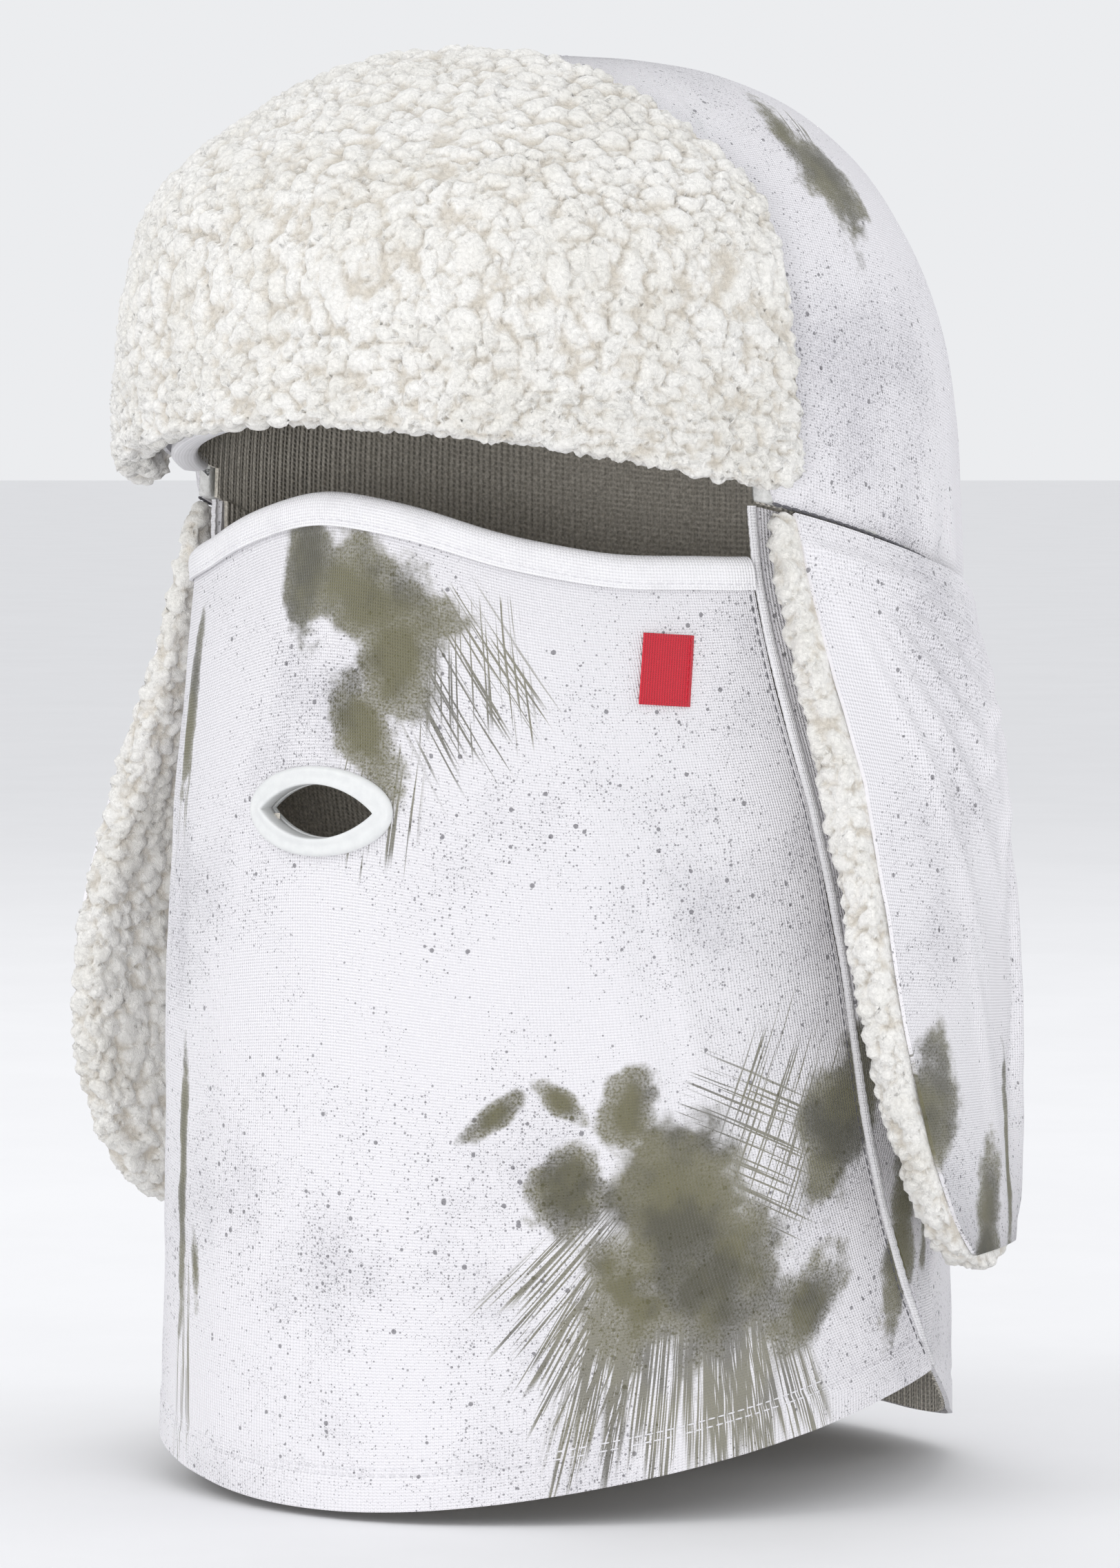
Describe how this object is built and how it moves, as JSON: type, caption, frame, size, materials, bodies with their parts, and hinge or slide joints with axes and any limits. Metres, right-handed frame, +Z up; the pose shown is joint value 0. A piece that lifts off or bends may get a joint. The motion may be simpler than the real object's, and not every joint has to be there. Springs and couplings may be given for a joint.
{
  "type": "trapper hat with face mask",
  "caption": "Winter trapper hat with a folding sherpa brow flap, swinging ear flaps and a built-in camouflage face mask with a breathing hole.",
  "frame": {"origin": "middle of the head, level with the brow edge of the hat", "axes": "+Z up, the wearer looks along -Y, +X is the wearer's left"},
  "size_m": [0.2524, 0.2323, 0.3551],
  "materials": {
    "snow_camo_shell": "brushed white softshell with a grey speckle and olive snow camouflage print",
    "sherpa_pile": "off-white curly pile, about 10 mm deep",
    "rib_lining": "warm grey ribbed fleece",
    "white_binding": "white knitted binding tape",
    "wadding": "white quilted wadding, hidden",
    "hook_and_loop": "white hook-and-loop tape, hidden",
    "moulded_ring": "soft light grey moulded rubber, matt",
    "red_label": "red woven tab, plain"
  },
  "bodies": {
    "hood": {"crown_shell_left": "snow_camo_shell", "crown_shell_right": "snow_camo_shell", "crown_insulation": "wadding", "crown_lining": "rib_lining", "brow_binding": "white_binding", "flap_hook_patch": "hook_and_loop", "mask_shell": "snow_camo_shell", "mask_lining": "rib_lining", "nose_bridge_binding": "white_binding", "mask_hem_facing": "snow_camo_shell", "mask_edge_trim_left": "white_binding", "mask_edge_trim_right": "white_binding", "breathing_ring": "moulded_ring", "breathing_ring_backing": "moulded_ring", "side_label": "red_label", "neck_panel_left": "snow_camo_shell", "neck_panel_right": "snow_camo_shell", "neck_lining": "rib_lining", "back_flap_sherpa": "sherpa_pile", "back_flap_shell": "snow_camo_shell"},
    "front_flap": {"front_flap_sherpa": "sherpa_pile", "front_flap_shell": "snow_camo_shell", "flap_loop_patch": "hook_and_loop"},
    "left_ear_flap": {"left_ear_flap_sherpa": "sherpa_pile", "left_ear_flap_shell": "snow_camo_shell"},
    "right_ear_flap": {"right_ear_flap_sherpa": "sherpa_pile", "right_ear_flap_shell": "snow_camo_shell"}
  },
  "joints": [
    {"name": "front_flap_fold", "type": "hinge", "parent": "hood", "child": "front_flap", "pos_m": [0, -0.1101, 0.0005], "axis": [1, 0, 0], "range_deg": [0, 120]},
    {"name": "left_ear_flap_swing", "type": "hinge", "parent": "hood", "child": "left_ear_flap", "pos_m": [0.0985, 0, -0.028], "axis": [0, -0.9744, 0.225], "range_deg": [0, 150]},
    {"name": "right_ear_flap_swing", "type": "hinge", "parent": "hood", "child": "right_ear_flap", "pos_m": [-0.0985, 0, -0.028], "axis": [0, 0.9744, -0.225], "range_deg": [0, 150]}
  ]
}
